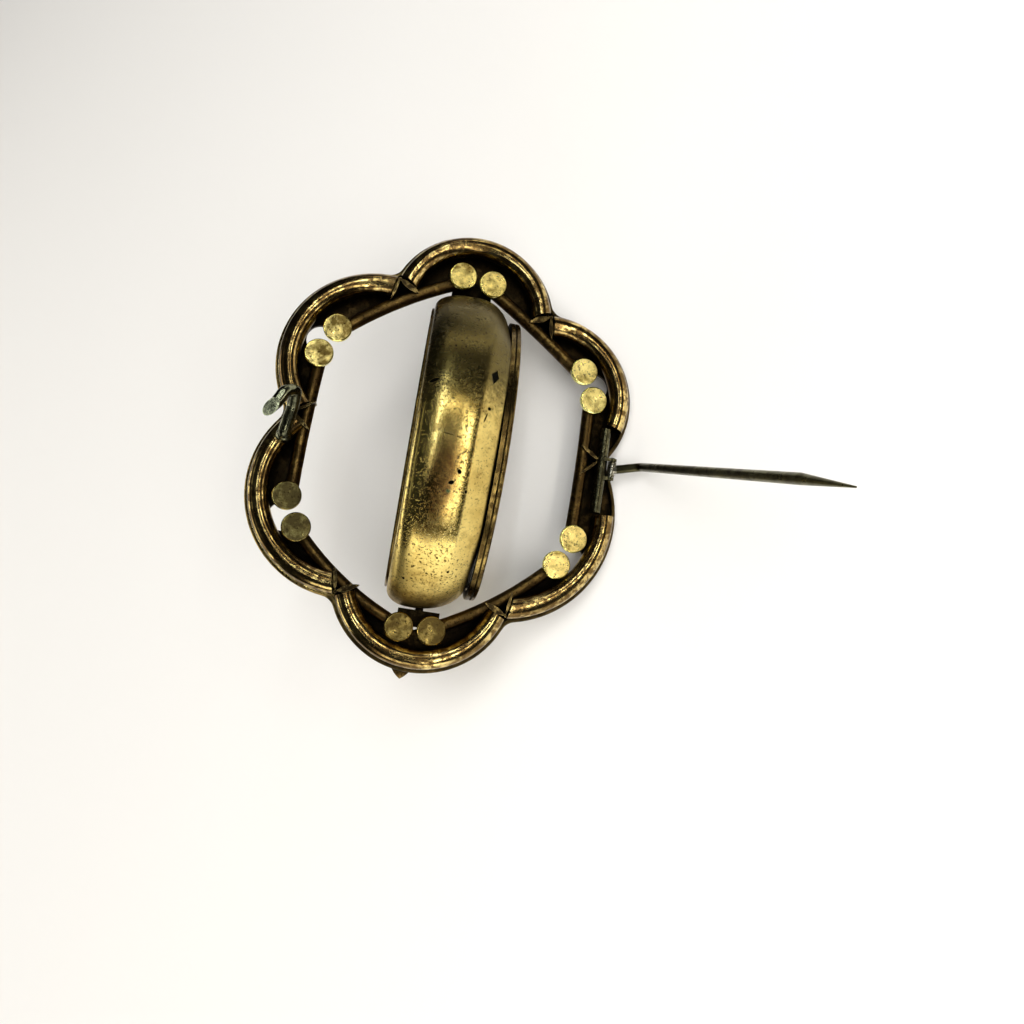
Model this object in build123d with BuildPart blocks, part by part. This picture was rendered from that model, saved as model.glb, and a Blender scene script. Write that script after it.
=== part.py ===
from build123d import *
from collections import namedtuple
from math import asin, atan2, cos, degrees, hypot, radians, sin, sqrt
import os

# A swivel mourning brooch, in millimetres, drawn flat on its back first
# X runs across to the hinge side, Y up the long axis, Z out of the back
# At the end the whole brooch is set down as it rests, propped on its locket

# Frame sizes
half_width = 23.3
half_length = 28.75
sheet_thickness = 0.5
sheet_top = -0.85
rim_width = 0.5
rim_top = 0.0
rim_round = 0.4
corner_round = 1.9
seat_gap = 0.03

# Lobe tubes, inner ring and stud sizes
tube_radius = 1.28
tube_wall = 0.3
tube_lift = 0.05
tube_height = sheet_top + seat_gap + tube_radius + tube_lift
tube_end_gap = 0.12
ring_radius = 0.8
ring_height = sheet_top + seat_gap + ring_radius
ring_out = 0.6
ring_tuck = 0.25
stud_radius = 1.78
stud_shank = 1.1
stud_head = 0.5
stud_spacing = 4.0
stud_top = 1.4
stud_bevel = 0.12
window_radius = 1.8
window_out = 1.35

# Corner leaf sizes
leaf_set_in = 0.95
leaf_length = 3.0
leaf_spread = 38.0
leaf_root = 0.4
leaf_top = 1.15

# Hinge rod, barrel and rivet sizes
rod_radius = 0.72
rod_gap = 0.88
rod_height = 0.8
rod_length = 11.1
rod_along = 0.65
barrel_radius = 0.53
barrel_length = 1.9
barrel_along = 1.0
barrel_height = 1.2
barrel_lean = 10.0
barrel_gap = 0.06
rivet_radius = 0.24
rivet_fit = 0.04
lug_radius = 0.5
lug_thickness = 0.4
rivet_head = 0.1

# Pin stem sizes, with the open pin's lean as the photograph shows it
pin_radius = 0.55
neck_length = 3.5
neck_shift = 0.72
neck_rise = 1.33
neck_bend = 1.2
stem_length = 43.2
stem_lean_out = 6.3
stem_lean_down = 10.8
point_length = 7.5
point_radius = 0.08
point_shift = 0.32

# Catch sizes
catch_radius = 0.74
catch_turn = 149.9
catch_set_in = 0.57
catch_reach = 5.0
catch_lip = 5.4
catch_bend = 0.75
catch_solder = 0.98

# Locket sizes
locket_end_gap = 0.84
locket_side_gap = 1.9
locket_end_radius = 10.5
swivel_height = -1.3
case_back = -4.45
case_front = 5.4
case_wall = 0.5
case_crown = 0.35
case_front_round = 3.0
case_back_round = 2.0
bezel_height = 1.2
bezel_step_in = 1.9
bezel_lip_in = 3.5
bezel_groove = 0.24
bezel_round = 0.25
glass_thickness = 0.55
glass_gap = 0.08
panel_thickness = 0.5
cover_thickness = 0.3
cover_step_in = 2.0

# Pivot sizes
pivot_radius = 0.5
pivot_gap = 0.06
pivot_reach = 1.1
block_half_width = 2.6
block_height = 0.95
block_depth = 1.6
block_reach = 0.5

# Front ornament sizes
ornament_length = 6.0
ornament_width = 3.4
ornament_thickness = 0.7
ornament_round = 0.3

# One row for each lobe, going round from the top. Across and reach are shares of the half
# width and along is a share of the half length. Turn is where the stud pair lies, seen from
# the middle, and facing is the way it looks. Room is the pair's gap to the tube as a share of
# the stud radius. Bow is the outward bow of the ring arc after the lobe, as a share of its chord.
# Leaf is the width of the two corner leaves that close its tube, as a share of their length.
Lobe = namedtuple("Lobe", "name across along reach turn facing room bow leaf window")
lobes = [
    Lobe("top", 0.021, 0.630, 0.467, 88.9, 86.0, 0.55, 0.020, 0.26, False),
    Lobe("upper_right", 0.509, 0.320, 0.487, 34.1, 26.0, 0.30, 0.0125, 0.17, True),
    Lobe("lower_right", 0.376, -0.217, 0.620, -32.1, -25.5, 0.06, 0.060, 0.12, True),
    Lobe("bottom", 0.0, -0.579, 0.500, -90.6, -89.0, 0.07, 0.072, 0.24, False),
    Lobe("lower_left", -0.449, -0.265, 0.564, -147.1, -153.5, 0.17, 0.0135, 0.16, True),
    Lobe("upper_left", -0.442, 0.308, 0.543, 147.3, 155.5, 0.27, 0.050, 0.12, True),
]
lobe_count = len(lobes)


def way(angle):
    """A unit step in the brooch's plane at this angle in degrees."""
    return Vector(cos(radians(angle)), sin(radians(angle)))


def lobe_centre(lobe):
    return Vector(lobe.across * half_width, lobe.along * half_length)


def lobe_reach(lobe):
    return lobe.reach * half_width


def tube_path_radius(lobe):
    return lobe_reach(lobe) - rim_width - tube_radius


def corner_after(index):
    """The outer point where this lobe's circle crosses the next one's."""
    first = lobes[index]
    second = lobes[(index + 1) % lobe_count]
    start = lobe_centre(first)
    gap = lobe_centre(second) - start
    span = gap.length
    part_way = (lobe_reach(first) ** 2 - lobe_reach(second) ** 2 + span ** 2) / (2 * span)
    rise = sqrt(lobe_reach(first) ** 2 - part_way ** 2)
    along = gap * (1 / span)
    side = Vector(-along.Y, along.X)
    options = [start + along * part_way + side * rise, start + along * part_way - side * rise]
    return max(options, key=lambda point: point.length)


def pair_centre(lobe):
    """Where the two studs sit: on the lobe's ray, just inside its tube."""
    ray = way(lobe.turn)
    tangent = way(lobe.facing + 90)
    inner = tube_path_radius(lobe) - tube_radius
    limit = inner - stud_radius - lobe.room * stud_radius
    reaches = []
    for side in (-1, 1):
        offset = lobe_centre(lobe) - tangent * (side * stud_spacing / 2)
        along = ray.dot(offset)
        reaches.append(along + sqrt(along ** 2 - offset.dot(offset) + limit ** 2))
    return ray * min(reaches)


def stud_centres(lobe):
    tangent = way(lobe.facing + 90)
    middle = pair_centre(lobe)
    return [middle + tangent * (side * stud_spacing / 2) for side in (1, -1)]


def ring_points(index):
    """Start, middle and end of the ring arc after this lobe."""
    start = pair_centre(lobes[index])
    end = pair_centre(lobes[(index + 1) % lobe_count])
    start = start + start.normalized() * ring_out
    end = end + end.normalized() * ring_out
    middle = (start + end) * 0.5
    outward = middle.normalized()
    return start, middle + outward * ((end - start).length * lobes[index].bow), end


def leaf_apex(index):
    corner = corner_after(index)
    return corner - corner.normalized() * leaf_set_in


def leaf_way(index, lobe):
    """The way a corner leaf's arm runs, on the side of the given lobe."""
    inward = degrees(atan2(-corner_after(index).Y, -corner_after(index).X))
    arms = [way(inward + leaf_spread), way(inward - leaf_spread)]
    apex = leaf_apex(index)
    return min(arms, key=lambda arm: (apex + arm * leaf_length - lobe_centre(lobe)).length)


def leaf_half(lobe):
    """Half the width of the leaves that close this lobe's tube."""
    return max(leaf_root, lobe.leaf * leaf_length) / 2


def placed(point, height=0.0):
    return (point.X, point.Y, height)


# Outline of the frame, one round lobe beside the next with softened corners
corners = [corner_after(index) for index in range(lobe_count)]
with BuildSketch() as outline:
    Polygon(*[placed(corner) for corner in corners], align=None)
    for lobe in lobes:
        with Locations(placed(lobe_centre(lobe))):
            Circle(lobe_reach(lobe))
    notches = [
        vertex
        for vertex in outline.vertices()
        if min((Vector(*vertex) - corner).length for corner in corners) < seat_gap
    ]
    fillet(notches, radius=corner_round)

# Inside edge of the frame, following the ring
with BuildSketch() as opening:
    with BuildLine():
        for index in range(lobe_count):
            ThreePointArc(*[placed(point) for point in ring_points(index)])
    make_face()
    offset(amount=-ring_radius / 2)

# Front frame: a pierced sheet with a raised rim round its edge
sheet_bottom = sheet_top - sheet_thickness
block_end = {
    "top": pair_centre(lobes[0]).Y - stud_radius,
    "bottom": pair_centre(lobes[3]).Y + stud_radius,
}
with BuildPart() as front_frame:
    with BuildSketch(Plane.XY.offset(sheet_bottom)):
        add(outline.sketch)
    extrude(amount=rim_top - sheet_bottom)
    fillet(front_frame.faces().filter_by(Axis.Z).edges(), radius=rim_round)
    with BuildSketch(Plane.XY.offset(sheet_top)):
        add(outline.sketch)
        offset(amount=-rim_width, mode=Mode.REPLACE)
    extrude(amount=rim_top - sheet_top, mode=Mode.SUBTRACT)
    with BuildSketch(Plane.XY.offset(sheet_bottom)):
        add(opening.sketch)
        for lobe in lobes:
            if lobe.window:
                hole = pair_centre(lobe) + way(lobe.facing) * window_out
                with Locations(placed(hole)):
                    Circle(window_radius)
        notch_width = 2 * (block_half_width + seat_gap)
        notch_depth = block_depth + 2 * seat_gap
        for end in block_end.values():
            outward = 1 if end > 0 else -1
            with Locations((0, end + outward * notch_depth / 2)):
                Rectangle(notch_width, notch_depth)
    extrude(amount=sheet_thickness, mode=Mode.SUBTRACT)

# Six lobe tubes, bent round and cut off beside the corner leaves
hinge_corner = 1
ring_side = ring_points(hinge_corner)[1].X + ring_radius
rod_across = ring_side + rod_gap + rod_radius
rod_top_end = rod_along + rod_length / 2
rod_bottom_end = rod_along - rod_length / 2


def end_line(index, lobe):
    """A point on a tube's end and the inward way of the cut, at the corner after index."""
    if index == hinge_corner:
        upper = lobe_centre(lobe).Y > 0
        level = rod_top_end if upper else rod_bottom_end
        level = level + (1 if upper else -1) * 2 * tube_end_gap
        turn = asin((level - lobe_centre(lobe).Y) / tube_path_radius(lobe))
        radial = Vector(cos(turn), sin(turn))
        return lobe_centre(lobe) + radial * tube_path_radius(lobe), radial * -1
    arm = leaf_way(index, lobe)
    side = Vector(-arm.Y, arm.X)
    if side.dot(leaf_apex(index)) < 0:
        side = side * -1
    return leaf_apex(index) + side * (leaf_half(lobe) + tube_end_gap), arm


def bent_tube(index, lobe, outer, bore):
    """The lobe's round tube between its two cut ends, solid where bore is nothing."""
    before, before_way = end_line((index - 1) % lobe_count, lobe)
    after, after_way = end_line(index, lobe)
    reach = lobe_reach(lobe)
    outward = way(lobe.facing) * reach
    with BuildPart() as whole:
        with BuildSketch(Plane.XZ):
            with Locations((tube_path_radius(lobe), 0)):
                Circle(outer)
                if bore:
                    Circle(bore, mode=Mode.SUBTRACT)
        revolve(axis=Axis.Z)
    with BuildPart() as bent:
        add(whole.part.moved(Location(placed(lobe_centre(lobe), tube_height))))
        with BuildSketch(Plane.XY.offset(tube_height - outer)):
            Polygon(
                placed(before - before_way * reach * 0.3),
                placed(before + before_way * reach * 0.45),
                placed(after + after_way * reach * 0.45),
                placed(after - after_way * reach * 0.3),
                placed(after - after_way * reach * 0.3 + outward),
                placed(before - before_way * reach * 0.3 + outward),
                align=None,
            )
        extrude(amount=2 * outer, mode=Mode.INTERSECT)
    return bent.part


tubes = {}
envelopes = []
for index, lobe in enumerate(lobes):
    tubes["lobe_tube_" + lobe.name] = bent_tube(
        index, lobe, tube_radius, tube_radius - tube_wall
    )
    envelopes.append(bent_tube(index, lobe, tube_radius + seat_gap, 0))

# Twelve studs standing on the sheet, two inside each lobe, with flat heads on thinner shanks
studs = {}
for lobe in lobes:
    for number, centre in enumerate(stud_centres(lobe), start=1):
        with BuildPart() as stud:
            with Locations(placed(centre, stud_top)):
                Cylinder(stud_radius, stud_head, align=(Align.CENTER, Align.CENTER, Align.MAX))
                Cylinder(
                    stud_shank,
                    stud_top - sheet_top - seat_gap,
                    align=(Align.CENTER, Align.CENTER, Align.MAX),
                )
            chamfer(stud.faces().sort_by(Axis.Z)[-1].edges(), length=stud_bevel)
        studs[f"stud_{lobe.name}_{number}"] = stud.part

# Six round ring arcs, each tucked under the stud heads of two lobes
def ring_wire(index, radius):
    """A round wire of this radius along the ring's arc after the lobe."""
    start, middle, end = ring_points(index)
    with BuildPart() as wire:
        with BuildLine() as arc_path:
            ThreePointArc(
                placed(start, ring_height), placed(middle, ring_height), placed(end, ring_height)
            )
        with BuildSketch(Plane(origin=arc_path.line @ 0, z_dir=arc_path.line % 0)):
            Circle(radius)
        sweep(path=arc_path.line)
    return wire.part


def biggest(part):
    """The main solid of a part, without any loose crumbs of a cut."""
    return Part(max(part.solids(), key=lambda solid: solid.volume).wrapped)


ring_arcs = {}
for index, lobe in enumerate(lobes):
    follower = lobes[(index + 1) % lobe_count]
    with BuildPart() as ring_arc:
        add(ring_wire(index, ring_radius))
        add(envelopes[index], mode=Mode.SUBTRACT)
        add(envelopes[(index + 1) % lobe_count], mode=Mode.SUBTRACT)
        with Locations(*[placed(point) for point in stud_centres(lobe) + stud_centres(follower)]):
            Cylinder(stud_radius - ring_tuck, 4 * stud_radius, mode=Mode.SUBTRACT)
    ring_arcs[f"ring_arc_{lobe.name}_{follower.name}"] = biggest(ring_arc.part)

# Corner leaves: two thin upright leaves that meet at a corner and close the tube ends
corner_leaves = {}
for index, lobe in enumerate(lobes):
    follower = lobes[(index + 1) % lobe_count]
    apex = leaf_apex(index)
    with BuildPart() as corner_leaf:
        with BuildSketch(Plane.XY.offset(sheet_top + seat_gap)):
            for neighbour in (lobe, follower):
                arm = leaf_way(index, neighbour)
                side = Vector(-arm.Y, arm.X) * (neighbour.leaf * leaf_length / 2)
                belly = apex + arm * (leaf_length / 2)
                tip = apex + arm * leaf_length
                with BuildLine():
                    ThreePointArc(placed(apex), placed(belly + side), placed(tip))
                    ThreePointArc(placed(tip), placed(belly - side), placed(apex))
                make_face()
            with Locations(placed(apex)):
                Circle(leaf_root / 2)
        extrude(amount=leaf_top - sheet_top - seat_gap)
        add(ring_wire(index, ring_radius + seat_gap), mode=Mode.SUBTRACT)
        if index == hinge_corner:
            with Locations(Location((rod_across, rod_along, rod_height), (90, 0, 0))):
                Cylinder(rod_radius + seat_gap, rod_top_end - rod_bottom_end, mode=Mode.SUBTRACT)
    corner_leaves[f"corner_leaf_{lobe.name}_{follower.name}"] = biggest(corner_leaf.part)

# Hinge rod with the two lugs that hold the rivet
barrel_centre = Vector(
    rod_across + rod_radius + barrel_radius + barrel_gap, barrel_along, barrel_height
)
barrel_way = Vector(0, cos(radians(barrel_lean)), sin(radians(barrel_lean)))
lug_offset = barrel_length / 2 + barrel_gap + lug_thickness / 2
with BuildPart() as hinge_rod:
    with Locations(Location((rod_across, rod_along, rod_height), (90, 0, 0))):
        Cylinder(rod_radius, rod_top_end - rod_bottom_end)
    for side in (-1, 1):
        lug_plane = Plane(
            origin=barrel_centre + barrel_way * (side * lug_offset - lug_thickness / 2),
            x_dir=(1, 0, 0),
            z_dir=barrel_way,
        )
        with BuildSketch(lug_plane):
            Circle(lug_radius)
            with Locations((-(barrel_centre.X - rod_across) / 2, 0)):
                Rectangle(barrel_centre.X - rod_across, 2 * lug_radius * 0.8)
            Circle(rivet_radius + rivet_fit / 2, mode=Mode.SUBTRACT)
        extrude(amount=lug_thickness)

# Hinge rivet through the lugs and the barrel
rivet_half = lug_offset + lug_thickness / 2 + rivet_head
with BuildPart(Plane(origin=barrel_centre, x_dir=(1, 0, 0), z_dir=barrel_way)) as hinge_rivet:
    Cylinder(rivet_radius, 2 * rivet_half)

# Pin stem, drawn open: its barrel, bent neck and long stem with a filed point
stem_way = Vector(
    sin(radians(stem_lean_out)),
    -cos(radians(stem_lean_out)) * sin(radians(stem_lean_down)),
    cos(radians(stem_lean_out)) * cos(radians(stem_lean_down)),
)
elbow = barrel_centre + Vector(neck_length, neck_shift, neck_rise)
point_start = elbow + stem_way * (stem_length - point_length)
point_end = elbow + stem_way * stem_length
point_side = (Vector(0, -1, 0) - stem_way * stem_way.dot(Vector(0, -1, 0))).normalized()
with BuildPart() as pin_stem:
    with BuildLine() as neck_path:
        FilletPolyline(
            barrel_centre + Vector(rivet_radius + 2 * rivet_fit, 0, 0),
            elbow,
            point_start,
            radius=neck_bend,
        )
    with BuildSketch(Plane(origin=neck_path.line @ 0, z_dir=neck_path.line % 0)):
        Circle(pin_radius)
    sweep(path=neck_path.line)
    with BuildSketch(Plane(origin=point_start, x_dir=point_side, z_dir=stem_way)):
        Circle(pin_radius)
    with BuildSketch(
        Plane(origin=point_end + point_side * point_shift, x_dir=point_side, z_dir=stem_way)
    ):
        Circle(point_radius)
    loft()
    with BuildSketch(
        Plane(
            origin=barrel_centre - barrel_way * barrel_length / 2, x_dir=(1, 0, 0), z_dir=barrel_way
        )
    ):
        Circle(barrel_radius)
    extrude(amount=barrel_length)
    with BuildSketch(
        Plane(origin=barrel_centre - barrel_way * barrel_length, x_dir=(1, 0, 0), z_dir=barrel_way)
    ):
        Circle(rivet_radius + rivet_fit)
    extrude(amount=2 * barrel_length, mode=Mode.SUBTRACT)

# Catch: a bent wire hook on a saddle of solder, its free end cut level. One row for each bend,
# measured from the foot as shares of the hook's reach.
Bend = namedtuple("Bend", "across along height")
hook_bends = [
    Bend(0.0, 0.0, 0.0),
    Bend(0.006, 0.02, 0.17),
    Bend(0.14, 0.68, 0.37),
    Bend(0.19, 1.0, 0.74),
    Bend(-0.02, 0.84, 0.94),
    Bend(-0.15, 0.56, 0.94),
    Bend(-0.33, 0.2, 1.24),
]
foot_height = tube_height + tube_radius - 2 * seat_gap
catch_lobe = lobes[4]
catch_spot = lobe_centre(catch_lobe) + way(catch_turn) * (tube_path_radius(catch_lobe) - catch_set_in)
catch_foot = Vector(catch_spot.X, catch_spot.Y, foot_height)
with BuildPart() as catch:
    with BuildLine() as hook_path:
        FilletPolyline(
            *[catch_foot + Vector(*bend) * catch_reach for bend in hook_bends],
            radius=catch_bend,
        )
    with BuildSketch(Plane(origin=hook_path.line @ 0, z_dir=hook_path.line % 0)):
        Circle(catch_radius)
    sweep(path=hook_path.line)
    split(bisect_by=Plane.XY.offset(foot_height + catch_lip), keep=Keep.BOTTOM)
    with Locations(catch_foot):
        Sphere(catch_solder)
    for envelope in envelopes:
        add(envelope, mode=Mode.SUBTRACT)

# Swivel pivots: a block under each end pair of studs, reaching in with a pin into the locket
pivots = {}
locket_along = (block_end["top"] + block_end["bottom"]) / 2
locket_half_length = (block_end["top"] - block_end["bottom"]) / 2 - locket_end_gap
ring_sides = [abs(ring_points(index)[1].X) - ring_radius for index in (1, 4)]
locket_half_width = min(ring_sides) - locket_side_gap
for name, end in block_end.items():
    outward = 1 if end > 0 else -1
    near = end - outward * block_reach
    block_top = sheet_top - seat_gap
    with BuildPart() as pivot:
        with Locations((0, near + outward * (block_reach + block_depth) / 2, block_top)):
            Box(
                2 * block_half_width,
                block_reach + block_depth,
                block_height,
                align=(Align.CENTER, Align.CENTER, Align.MAX),
            )
        with BuildSketch(Plane(origin=(0, near, swivel_height), z_dir=(0, -outward, 0))):
            Circle(pivot_radius)
        extrude(amount=abs(near - locket_along) - locket_half_length + pivot_reach)
    pivots["pivot_" + name] = pivot.part


# The locket's oval is two end arcs and two side arcs that run smoothly into each other
locket_side_radius = (
    locket_half_length**2 + locket_half_width**2 - 2 * locket_half_length * locket_end_radius
) / (2 * (locket_half_width - locket_end_radius))
end_centre = locket_half_length - locket_end_radius
side_centre = locket_side_radius - locket_half_width
join_turn = degrees(atan2(side_centre, end_centre))


def oval(step_in, height):
    """The locket's oval, taken in by step_in, drawn across the swivel at this height."""
    end_arc = locket_end_radius - step_in
    side_arc = locket_side_radius - step_in
    along = locket_along
    with BuildSketch(Plane.YZ.offset(height)) as shape:
        with BuildLine():
            CenterArc((along + end_centre, swivel_height), end_arc, -join_turn, 2 * join_turn)
            CenterArc(
                (along, swivel_height - side_centre), side_arc, join_turn, 180 - 2 * join_turn
            )
            CenterArc(
                (along - end_centre, swivel_height), end_arc, 180 - join_turn, 2 * join_turn
            )
            CenterArc(
                (along, swivel_height + side_centre), side_arc, 180 + join_turn, 180 - 2 * join_turn
            )
        make_face()
    return shape.sketch


# Locket case: a hollow crowned band, open on both faces and turned edge on. Its section is
# drawn across the top of the oval and swept round it.
case_lip = case_front_round + case_wall


def case_section(wall):
    """The band's crowned section, taken in by this much on its outer sides."""
    crest = locket_along + locket_half_length - wall
    shoulder = crest - case_crown
    low = locket_along + locket_half_length - case_lip - 2 * wall
    back, front = case_back + wall, case_front - wall
    with BuildSketch(Plane.XY.offset(swivel_height)) as section:
        with BuildLine():
            ThreePointArc((back, shoulder), ((back + front) / 2, crest), (front, shoulder))
            Polyline((front, shoulder), (front, low), (back, low), (back, shoulder))
        make_face()
        back_corner = section.vertices().group_by(Axis.X)[0].sort_by(Axis.Y)[-1]
        fillet(back_corner, radius=case_back_round - wall)
        front_corner = section.vertices().group_by(Axis.X)[-1].sort_by(Axis.Y)[-1]
        fillet(front_corner, radius=case_front_round - wall)
    return section.sketch


with BuildLine(Plane.YZ) as case_path:
    CenterArc((locket_along + end_centre, swivel_height), locket_end_radius, 0, join_turn)
    CenterArc(
        (locket_along, swivel_height - side_centre),
        locket_side_radius,
        join_turn,
        180 - 2 * join_turn,
    )
    CenterArc(
        (locket_along - end_centre, swivel_height),
        locket_end_radius,
        180 - join_turn,
        2 * join_turn,
    )
    CenterArc(
        (locket_along, swivel_height + side_centre),
        locket_side_radius,
        180 + join_turn,
        180 - 2 * join_turn,
    )
    CenterArc((locket_along + end_centre, swivel_height), locket_end_radius, -join_turn, join_turn)
with BuildPart() as case_hollow:
    sweep(case_section(case_wall), path=case_path.wire())
with BuildPart() as locket_case:
    sweep(case_section(0), path=case_path.wire())
    add(case_hollow.part, mode=Mode.SUBTRACT)
    with Locations(Location((0, 0, swivel_height), (90, 0, 0))):
        Cylinder(pivot_radius + pivot_gap, 3 * locket_half_length, mode=Mode.SUBTRACT)

# Front bezel: a grooved oval ring over the open front of the case
bezel_seat = case_front + seat_gap
flange = (bezel_height - bezel_groove) / 2
with BuildPart() as front_bezel:
    extrude(oval(bezel_step_in, bezel_seat), amount=flange, dir=(1, 0, 0))
    extrude(
        oval(bezel_step_in + bezel_groove, bezel_seat + flange), amount=bezel_groove, dir=(1, 0, 0)
    )
    extrude(
        oval(bezel_step_in, bezel_seat + flange + bezel_groove), amount=flange, dir=(1, 0, 0)
    )
    fillet(front_bezel.faces().sort_by(Axis.X)[-1].edges(), radius=bezel_round)
    extrude(
        oval(bezel_lip_in, bezel_seat), amount=bezel_height, dir=(1, 0, 0), mode=Mode.SUBTRACT
    )
    extrude(
        oval(case_front_round, bezel_seat),
        amount=glass_thickness + 2 * glass_gap,
        dir=(1, 0, 0),
        mode=Mode.SUBTRACT,
    )

# Glass, panel and back cover of the locket
with BuildPart() as glass:
    extrude(
        oval(case_front_round + glass_gap, bezel_seat + glass_gap / 2),
        amount=glass_thickness,
        dir=(1, 0, 0),
    )
with BuildPart() as panel:
    extrude(
        oval(case_front_round + case_wall + 2 * glass_gap, case_front - seat_gap - panel_thickness),
        amount=panel_thickness,
        dir=(1, 0, 0),
    )
with BuildPart() as back_cover:
    extrude(
        oval(cover_step_in, case_back - seat_gap - cover_thickness),
        amount=cover_thickness,
        dir=(1, 0, 0),
    )
    fillet(back_cover.faces().sort_by(Axis.X)[0].edges(), radius=cover_thickness / 2)

# Two plain leaves on the front, under the top and bottom lobes. Across is the leaf's place
# and overhang how far its tip passes the lobe, both as shares of the leaf's length.
FrontLeaf = namedtuple("FrontLeaf", "name lobe across overhang")
front_leaves = [
    FrontLeaf("top", lobes[0], 0.08, -0.08),
    FrontLeaf("bottom", lobes[3], -0.17, 0.16),
]
ornaments = {}
for leaf in front_leaves:
    outward = 1 if lobe_centre(leaf.lobe).Y > 0 else -1
    crown = lobe_centre(leaf.lobe).Y + outward * lobe_reach(leaf.lobe)
    across = leaf.across * ornament_length
    tip = (across, crown + outward * leaf.overhang * ornament_length)
    root = (across, tip[1] - outward * ornament_length)
    belly = (tip[1] + root[1]) / 2
    with BuildPart() as ornament:
        with BuildSketch(Plane.XY.offset(sheet_bottom - seat_gap - ornament_thickness)):
            with BuildLine():
                ThreePointArc(root, (across + ornament_width / 2, belly), tip)
                ThreePointArc(tip, (across - ornament_width / 2, belly), root)
            make_face()
        extrude(amount=ornament_thickness)
        chamfer(ornament.faces().sort_by(Axis.Z)[0].edges(), length=ornament_round)
    ornaments["front_leaf_" + leaf.name] = ornament.part

pieces = {"front_frame": front_frame.part}
pieces.update(tubes)
pieces.update(studs)
pieces.update(ring_arcs)
pieces.update(corner_leaves)
pieces.update({"hinge_rod": hinge_rod.part, "hinge_rivet": hinge_rivet.part})
pieces.update({"pin_stem": pin_stem.part, "catch": catch.part})
pieces.update(pivots)
pieces.update({"locket_case": locket_case.part, "front_bezel": front_bezel.part})
pieces.update({"glass": glass.part, "panel": panel.part, "back_cover": back_cover.part})
pieces.update(ornaments)

# The brooch rests on its locket's bezel and on the two lobes of the hinge side
bezel_foot = (
    bezel_seat + bezel_height - bezel_round,
    swivel_height - locket_half_width + bezel_step_in + bezel_round,
)
lobe_foot = (
    lobe_centre(lobes[1]).X + lobe_reach(lobes[1]) - rim_round,
    sheet_bottom + rim_round,
)
foot_span = hypot(lobe_foot[0] - bezel_foot[0], lobe_foot[1] - bezel_foot[1])
foot_slope = atan2(lobe_foot[1] - bezel_foot[1], lobe_foot[0] - bezel_foot[0])
rest_tilt = degrees(foot_slope + asin((bezel_round - rim_round) / foot_span))
turned = Rotation(0, rest_tilt, 0)
extent = Compound(children=[Part(solid.moved(turned).wrapped) for solid in pieces.values()])
box = extent.bounding_box()
rest = Location((-box.center().X, -box.center().Y, -box.min.Z)) * turned

os.makedirs("parts", exist_ok=True)
for name, solid in pieces.items():
    piece = solid.moved(rest)
    piece.label = name
    export_step(piece, f"parts/{name}.step")


def rest_point(point):
    return (rest * Location(tuple(point))).position


def rest_way(direction):
    return (turned * Location(tuple(direction))).position


print("tilt", round(rest_tilt, 3), "move", rest.position)
print("size", box.size)
print("pin hinge", rest_point(barrel_centre), rest_way(barrel_way))
print("swivel", rest_point(Vector(0, 0, swivel_height)), rest_way(Vector(0, 1, 0)))
print("stem from", rest_point(elbow), "point start", rest_point(point_start), rest_way(stem_way))
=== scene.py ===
# %% [markdown]
# # A swivel mourning brooch, seen from its back
# The brooch is gilt metal gone brown with age: a frame of six bent tubes, a thick oval locket
# that turns in it, a long pin and a hooked catch. The solids come ready made, in metres, and
# this script dresses them. We start by loading them and keeping the size of their box.

from collections import namedtuple
from math import atan2, cos, exp, hypot, log, pi, radians, sin

import bmesh
import bpy
from mathutils import Matrix, Vector
from mathutils import noise as noise_field


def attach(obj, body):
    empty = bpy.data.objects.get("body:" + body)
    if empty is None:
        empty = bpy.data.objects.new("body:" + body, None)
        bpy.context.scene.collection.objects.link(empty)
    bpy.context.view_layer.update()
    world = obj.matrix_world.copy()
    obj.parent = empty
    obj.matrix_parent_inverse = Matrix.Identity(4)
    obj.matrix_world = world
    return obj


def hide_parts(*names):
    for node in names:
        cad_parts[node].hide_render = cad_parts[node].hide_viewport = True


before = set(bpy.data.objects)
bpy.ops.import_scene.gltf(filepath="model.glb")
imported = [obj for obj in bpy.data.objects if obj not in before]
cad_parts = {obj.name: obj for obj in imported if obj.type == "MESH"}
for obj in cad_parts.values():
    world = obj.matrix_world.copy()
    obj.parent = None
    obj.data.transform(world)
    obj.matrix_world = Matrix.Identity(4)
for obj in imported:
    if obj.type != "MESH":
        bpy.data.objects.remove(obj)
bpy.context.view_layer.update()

# %% [markdown]
# The maker would lay the brooch face down on a board and measure it in millimetres. We do the
# same: X runs across to the hinge, Y up the long axis and Z out of the back. One matrix carries
# a point of that board to where the brooch rests, propped on its locket, in metres.

# %% The board and how it is tilted
MM = 0.001
REST_TILT = radians(38.35)
REST_MOVE = Vector((-15.9064, 0.131325, 15.2957)) * MM
board = Matrix.Translation(REST_MOVE) @ Matrix.Rotation(REST_TILT, 4, "Y") @ Matrix.Scale(MM, 4)


def on_board(x, y, z):
    """A point of the board, given in millimetres, as a place in the scene."""
    return board @ Vector((x, y, z))


def add_object(name, data):
    """An object for this mesh, camera or lamp, linked into the scene."""
    thing = bpy.data.objects.new(name, data)
    bpy.context.scene.collection.objects.link(thing)
    return thing


def stand_at(thing, place, right, up, back):
    """Stands a camera or lamp at a place, with its own axes along the three given ways."""
    thing.matrix_world = Matrix.Translation(place) @ Matrix((right, up, back)).transposed().to_4x4()


board_turn = board.to_3x3().normalized()
print("middle of the board lies at", [round(v, 4) for v in on_board(0, 0, 0)])

# %% [markdown]
# ## Camera
# The photograph looks at the back from about ten centimetres away, which is close enough for
# the near edge of the locket and the point of the pin to look larger. The camera stands where
# the studs' spacing says it stood, and is rolled so that the long axis leans as in the picture.

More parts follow.
